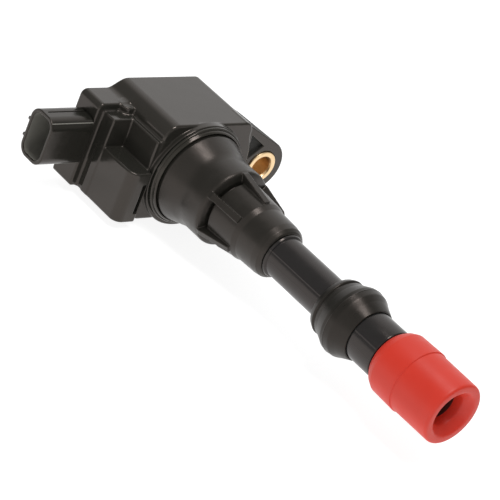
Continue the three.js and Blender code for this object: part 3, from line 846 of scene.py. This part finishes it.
def with_seam(radius, angle):
    """A moulding seam: a slight ridge along the tube, only on its outside."""
    away = (angle - SEAM.angle) * SEAM.radius / SEAM.width
    return radius + np.where(radius > SEAM.inside, SEAM.height * math.exp(-(away**2)), 0)


tube = turned("stem_barrel", TUBE_OUTLINE, sides=256, shape=with_seam)
dress(tube, "stem_tube", TUBE_BLACK)

# ---- rubber pieces on the stem ------------------------------------------------------------------
RING_OUTLINE = [
    (RING_START, 6.2, 0.1),
    (RING_START, 8.2, 0.4),
    (RING_START + 1.7, 9.0, 0.7),
    (RING_START + 2.15, 8.35, 0.15),
    (RING_START + 2.5, 8.75, 0.2),
    (RING_START + 3.9, 9.1, 1.0),
    (RING_START + 6.8, 10.35, 1.5),
    (RING_START + 7.8, 10.42, 0.1),
    (RING_START + 7.95, 10.52, 0.05),
    (RING_START + 8.1, 10.42, 0.1),
    (RING_START + 9.8, 10.25, 1.5),
    (RING_START + 11.5, 9.3, 1.5),
    (RING_END, 8.0, 0.25),
    (RING_END, 7.62, 0.1),
    (66.7, 7.62),
    (66.7, 6.2),
]
ring = turned("rubber_centring_ring", RING_OUTLINE, sides=160)
dress(ring, "centring_ring", RING_BLACK)

BOOT_OUTLINE = [
    (BOOT_START, 6.5, 0.1),
    (BOOT_START, 7.5, 0.4),
    (BOOT_START + 1.3, 8.7, 1.0),
    (BOOT_START + 3.0, 9.5, 1.2),
    (99.4, 9.7, 0.12),
    (99.6, 9.4, 0.05),
    (BOOT_END, 9.3, 0.9),
    (BOOT_END, 6.9, 1.2),
    (BOOT_END - 2.4, 4.9, 1.8),
    (BOOT_END - 5, 4.15, 1.5),
    (BOOT_END - 9, 4.15, 0.3),
    (BOOT_END - 9.2, 4.4, 0.1),
    (100.3, 4.4),
    (100.3, 6.5),
]
FUNNEL_DEPTH = 4.2
FUNNEL_BORE = 4.9  # a little more than the bore behind the funnel


def in_boot_bore(middle):
    """Whether a point is in the boot's bore, behind its funnel."""
    return middle[0] < BOOT_END - FUNNEL_DEPTH and math.hypot(middle[1], middle[2]) < FUNNEL_BORE


boot = turned("silicone_boot", BOOT_OUTLINE, sides=160)
dress(boot, "plug_boot", SILICONE_RED)
# The bore behind the funnel gets the painted shade.
second_finish(boot, BOOT_BORE_PAINTED_SHADE, in_boot_bore)

# ---- sprung contact -----------------------------------------------------------------------------
CAP_RADIUS = 2.9
CAP_NOSE = 2.1
CAP_SHOULDER = 97.7
CAP_OUTLINE = [
    (CAP_START, 0.0),
    (CAP_START, CAP_RADIUS, 0.3),
    (CAP_SHOULDER, CAP_RADIUS, 0.3),
    (CAP_SHOULDER, CAP_NOSE),
    (CAP_END, CAP_NOSE, 0.7),
    (CAP_END, 1.0, 0.2),
    (CAP_END - 0.5, 0.6, 0.3),
    (CAP_END - 0.5, 0.0),
]
cap = turned("contact_tip", CAP_OUTLINE, sides=64)
dress(cap, "contact_cap", CONTACT_BRASS, "contact")

SPRING = Sizes(radius=2.3, wire=0.38, turns=12)  # to the middle of the wire, and the wire's own radius
STEPS_PER_TURN = 28
WIRE_SIDES = 10
CLOSED_SHARE = 0.06  # of the spring's turns, at each end
CLOSED_PITCH = 1.6  # how far the closed part of an end rises, in wire radii


def spring_line(start, end):
    """Points along the middle of the wire, each with the direction away from the stem's axis."""
    radius, wire, turns = SPRING.radius, SPRING.wire, SPRING.turns
    steps = turns * STEPS_PER_TURN
    free = end - start - 2 * wire - 2 * CLOSED_PITCH * wire
    points, directions = [], []
    for i in range(steps + 1):
        t = i / steps
        rise = np.clip((t - CLOSED_SHARE) / (1 - 2 * CLOSED_SHARE), 0, 1)
        closed = (min(t, CLOSED_SHARE) + max(t - (1 - CLOSED_SHARE), 0)) / CLOSED_SHARE
        angle = 2 * math.pi * turns * t
        c, s = math.cos(angle), math.sin(angle)
        points.append((start + wire + CLOSED_PITCH * wire * closed + free * rise, radius * c, radius * s))
        directions.append((c, s))
    return points, directions


def coil_spring(name, start, end):
    """A helical spring along the stem, its ends closed up."""
    points, directions = spring_line(start, end)
    vertices = []
    for (x, y, z), (c, s) in zip(points, directions):
        for k in range(WIRE_SIDES):
            a = 2 * math.pi * k / WIRE_SIDES
            out, along = SPRING.wire * math.cos(a), SPRING.wire * math.sin(a)
            vertices.append((x + along, y + out * c, z + out * s))
    faces = []
    for first in range(0, len(vertices) - WIRE_SIDES, WIRE_SIDES):
        for k in range(WIRE_SIDES):
            n = (k + 1) % WIRE_SIDES
            faces.append((first + k, first + n, first + WIRE_SIDES + n, first + WIRE_SIDES + k))
    faces.append(tuple(reversed(range(WIRE_SIDES))))
    faces.append(tuple(range(len(vertices) - WIRE_SIDES, len(vertices))))
    mesh = bpy.data.meshes.new(name)
    mesh.from_pydata(to_row(vertices).tolist(), [], faces)
    return finish_mesh(link(name, mesh))


spring = coil_spring("contact_coil", SPRING_START, SPRING_END)
dress(spring, "contact_spring", SPRING_STEEL)
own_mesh(spring)

# ---- inner CAD pieces keep their shape and get a finish ------------------------------------------
INNER = {
    "core_bar": CORE_STEEL,
    "core_yoke": CORE_STEEL,
    "bias_magnet": MAGNET_GREY,
    "primary_bobbin": BOBBIN_NATURAL,
    "primary_winding": COPPER_WIRE,
    "secondary_bobbin": BOBBIN_NATURAL,
    "igniter_module": CHIP_BLACK,
    "igniter_heat_sink": HEAT_SINK,
    "noise_capacitor": CAPACITOR_BROWN,
    "output_terminal": CONTACT_BRASS,
    "suppression_resistor": RESISTOR_TAN,
    "resistor_cap_upper": CONTACT_BRASS,
    "resistor_cap_lower": CONTACT_BRASS,
}
INNER.update({f"secondary_winding_{i}": COPPER_WIRE for i in range(1, 5)})
for node, material in INNER.items():
    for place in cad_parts[node].material_slots:
        place.material = material


# ---- floor and light ----------------------------------------------------------------------------
FLOOR_HALF = 3.0  # metres
FLOOR_GREY = (0.3, 0.3, 0.3)
FLOOR_GLOW = 0.88
FLOOR_CLOUDS = 6


def add_floor():
    """A pale floor that also gives off light, so that it shows as white."""
    material, nodes, links, shader, place = surface("floor_white", FLOOR_GREY, 0.75)
    shader.inputs["Emission Color"].default_value = (1, 1, 1, 1)
    shader.inputs["Emission Strength"].default_value = FLOOR_GLOW
    cloudy = noise(nodes, links, place, FLOOR_CLOUDS, 3)
    links.new(between(nodes, links, cloudy, 0.7, 0.8), shader.inputs["Roughness"])
    half = FLOOR_HALF
    corners = [(-half, -half, 0), (half, -half, 0), (half, half, 0), (-half, half, 0)]
    mesh = bpy.data.meshes.new("floor")
    mesh.from_pydata(corners, [], [(0, 1, 2, 3)])
    mesh.materials.append(material)
    link("floor", mesh)


SOFTBOX = Sizes(at=(110, -60, 560), towards=(45, 0, 0), size=(0.42, 0.16), radiance=9)


def add_softbox(name, at, towards, size, radiance):
    """A rectangular area light. Its place is in the coil's layout, its size in metres, the long side along
    x."""
    data = bpy.data.lights.new(name, "AREA")
    data.shape = "RECTANGLE"
    data.size, data.size_y = size
    data.energy = radiance * math.pi * size[0] * size[1]
    light = bpy.data.objects.new(name, data)
    bpy.context.scene.collection.objects.link(light)
    forward = (Vector(towards) - Vector(at)).normalized()
    side = Vector((1, 0, 0))
    side = (side - forward * forward.dot(side)).normalized()
    turn = Matrix((side, side.cross(forward), -forward)).transposed()
    light.matrix_world = Matrix.Translation(to_row(at)) @ turn.to_4x4()


WORLD_BASE = 0.3
WORLD_GLOWS = [  # direction, angles where the glow ends and where it is full, strength
    ((-0.57, 0.69, 0.44), 55, 22, 0.7),
    ((0.3, -0.92, 0.25), 50, 10, 0.35),
]


def world_glow(nodes, links, generated, towards, wide, narrow, strength):
    """Light that comes from round one direction, fading out from narrow to wide degrees away from it."""
    toward = nodes.new("ShaderNodeVectorMath")
    toward.operation = "DOT_PRODUCT"
    toward.inputs[1].default_value = Vector(towards).normalized()
    links.new(generated, toward.inputs[0])
    glow = nodes.new("ShaderNodeMapRange")
    glow.interpolation_type = "SMOOTHSTEP"
    glow.inputs["From Min"].default_value = math.cos(math.radians(wide))
    glow.inputs["From Max"].default_value = math.cos(math.radians(narrow))
    glow.inputs["To Max"].default_value = strength
    links.new(toward.outputs["Value"], glow.inputs["Value"])
    return glow.outputs["Result"]


def add_light():
    """A dim even room with two broad glows, one beyond the coil and one low beside it, and a softbox
    overhead."""
    world = bpy.data.worlds.new("studio")
    world.use_nodes = True
    bpy.context.scene.world = world
    nodes, links = world.node_tree.nodes, world.node_tree.links
    background = nodes["Background"]
    background.inputs["Color"].default_value = (1, 1, 1, 1)
    generated = nodes.new("ShaderNodeTexCoord").outputs["Generated"]
    level = None
    for towards, wide, narrow, strength in WORLD_GLOWS:
        total = nodes.new("ShaderNodeMath")
        total.operation = "ADD"
        total.inputs[1].default_value = WORLD_BASE
        links.new(world_glow(nodes, links, generated, towards, wide, narrow, strength), total.inputs[0])
        if level:
            links.new(level, total.inputs[1])
        level = total.outputs["Value"]
    links.new(level, background.inputs["Strength"])
    add_softbox("overhead", SOFTBOX.at, SOFTBOX.towards, SOFTBOX.size, SOFTBOX.radiance)
    bpy.context.scene.view_settings.view_transform = "Standard"


add_floor()
add_light()
